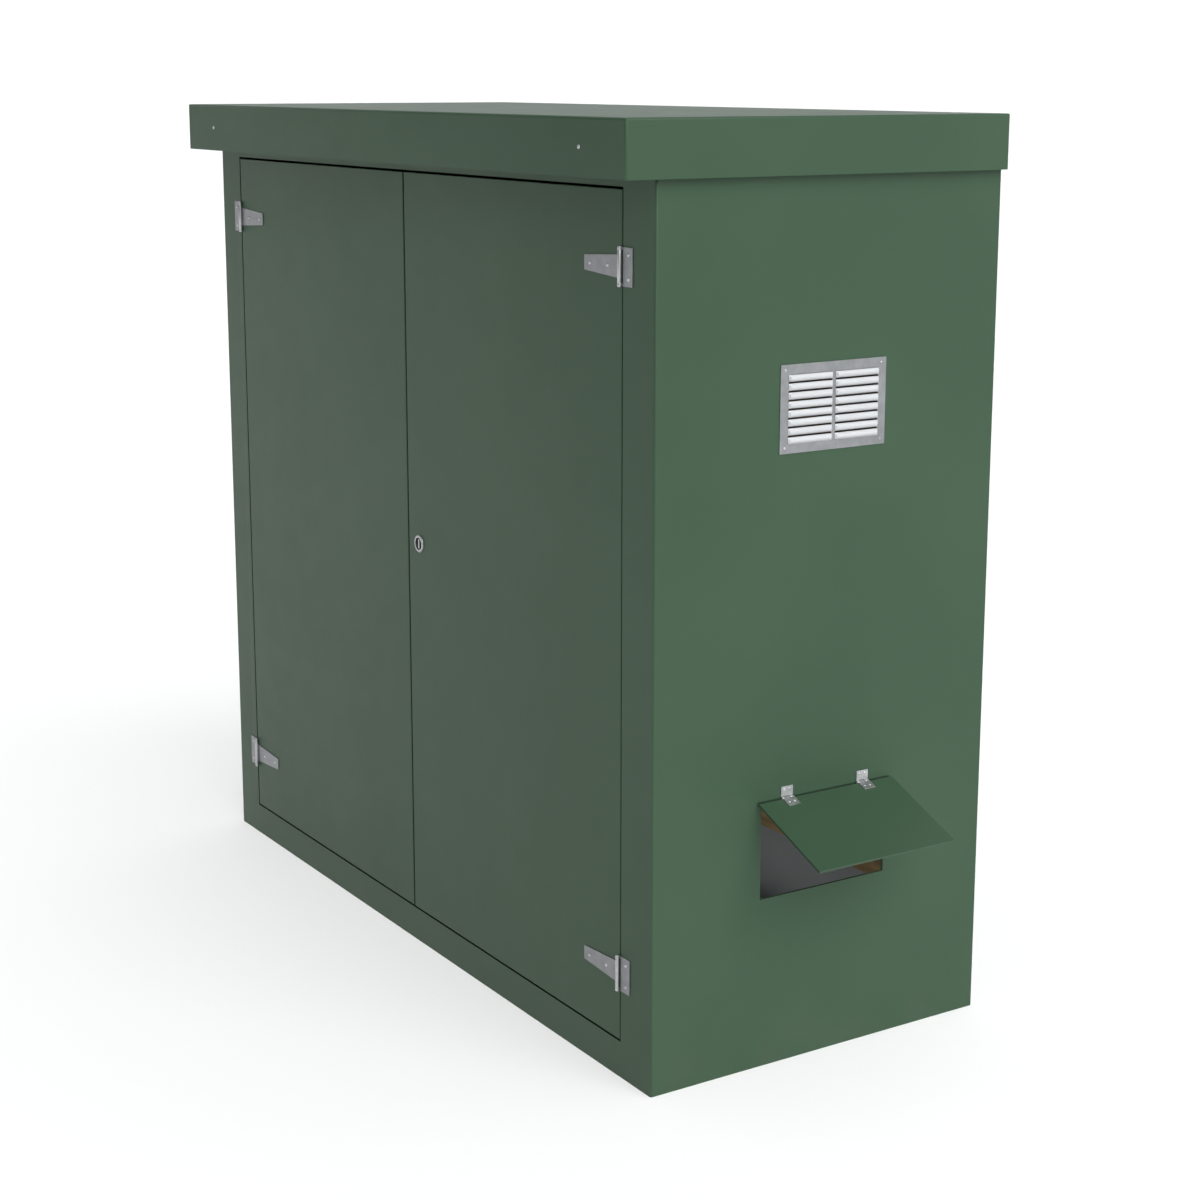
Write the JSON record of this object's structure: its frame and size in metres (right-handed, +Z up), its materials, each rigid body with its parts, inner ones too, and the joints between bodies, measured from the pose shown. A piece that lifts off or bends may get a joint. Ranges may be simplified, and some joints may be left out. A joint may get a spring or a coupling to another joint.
{
  "type": "roadside utility cabinet",
  "caption": "Free-standing moulded cabinet with a flat overhanging roof, flush double doors on tee hinges, a side louvre vent and a hinged cable flap.",
  "frame": {"origin": "on the ground, at the middle of the body's base and of its four ground bolts", "axes": "+Z up, +X to the right along the front, -Y out through the doors"},
  "size_m": [1.9471, 0.8149, 1.685],
  "materials": {
    "green_gel_coat": "satin moulded gel coat",
    "hinge_zinc": "dull zinc plate",
    "fastener_steel": "bright zinc plate",
    "lock_zinc": "satin plated die casting",
    "vent_aluminium": "satin anodised",
    "plywood": "sealed plywood",
    "seal_rubber": "matt"
  },
  "bodies": {
    "cabinet": {"body_shell": "green_gel_coat", "roof_cap": "green_gel_coat", "left_roof_bracket": "hinge_zinc", "right_roof_bracket": "hinge_zinc", "roof_edge_screws": "fastener_steel", "roof_bolts": "fastener_steel", "roof_nuts": "fastener_steel", "door_seal": "seal_rubber", "backboard": "plywood", "backboard_studs": "hinge_zinc", "backboard_washers": "fastener_steel", "backboard_nuts": "fastener_steel", "vent_louvre": "vent_aluminium", "vent_screws": "fastener_steel", "upper_left_hinge_plate": "hinge_zinc", "lower_left_hinge_plate": "hinge_zinc", "upper_right_hinge_plate": "hinge_zinc", "lower_right_hinge_plate": "hinge_zinc", "upper_left_hinge_pin": "fastener_steel", "lower_left_hinge_pin": "fastener_steel", "upper_right_hinge_pin": "fastener_steel", "lower_right_hinge_pin": "fastener_steel", "hinge_plate_bolts": "fastener_steel", "hinge_plate_nuts": "fastener_steel", "front_flap_hinge_wall_leaf": "hinge_zinc", "rear_flap_hinge_wall_leaf": "hinge_zinc", "front_flap_hinge_pin": "fastener_steel", "rear_flap_hinge_pin": "fastener_steel", "flap_wall_screws": "fastener_steel"},
    "left_door": {"left_door": "green_gel_coat", "upper_left_hinge_strap": "hinge_zinc", "lower_left_hinge_strap": "hinge_zinc", "left_strap_bolts": "fastener_steel", "left_strap_nuts": "fastener_steel", "top_bolt_bracket": "hinge_zinc", "bottom_bolt_bracket": "hinge_zinc", "bolt_bracket_screws": "fastener_steel"},
    "top_bolt": {"top_shoot_bolt": "fastener_steel"},
    "bottom_bolt": {"bottom_shoot_bolt": "fastener_steel"},
    "right_door": {"right_door": "green_gel_coat", "upper_right_hinge_strap": "hinge_zinc", "lower_right_hinge_strap": "hinge_zinc", "right_strap_bolts": "fastener_steel", "right_strap_nuts": "fastener_steel", "lock_housing": "lock_zinc", "lock_nut": "fastener_steel"},
    "lock": {"lock_spindle": "lock_zinc", "lock_cam": "lock_zinc", "lock_cam_screw": "fastener_steel"},
    "flap": {"cable_flap": "green_gel_coat", "front_flap_hinge_flap_leaf": "hinge_zinc", "rear_flap_hinge_flap_leaf": "hinge_zinc", "flap_screws": "fastener_steel"}
  },
  "joints": [
    {"name": "left_door_hinge", "type": "hinge", "parent": "cabinet", "child": "left_door", "pos_m": [-0.7735, -0.3751, 0.8], "axis": [0, 0, -1], "range_deg": [0, 170]},
    {"name": "right_door_hinge", "type": "hinge", "parent": "cabinet", "child": "right_door", "pos_m": [0.7735, -0.3751, 0.8], "axis": [0, 0, 1], "range_deg": [0, 170]},
    {"name": "lock_turn", "type": "hinge", "parent": "right_door", "child": "lock", "pos_m": [0.046, -0.371, 0.8415], "axis": [0, 1, 0], "range_deg": [0, 90]},
    {"name": "top_bolt_slide", "type": "slide", "parent": "left_door", "child": "top_bolt", "axis": [0, 0, 1], "range_m": [0, 0.015]},
    {"name": "bottom_bolt_slide", "type": "slide", "parent": "left_door", "child": "bottom_bolt", "axis": [0, 0, -1], "range_m": [0, 0.015]},
    {"name": "flap_hinge", "type": "hinge", "parent": "cabinet", "child": "flap", "pos_m": [0.8781, 0, 0.499], "axis": [0, -1, 0], "range_deg": [-68, 82]}
  ]
}
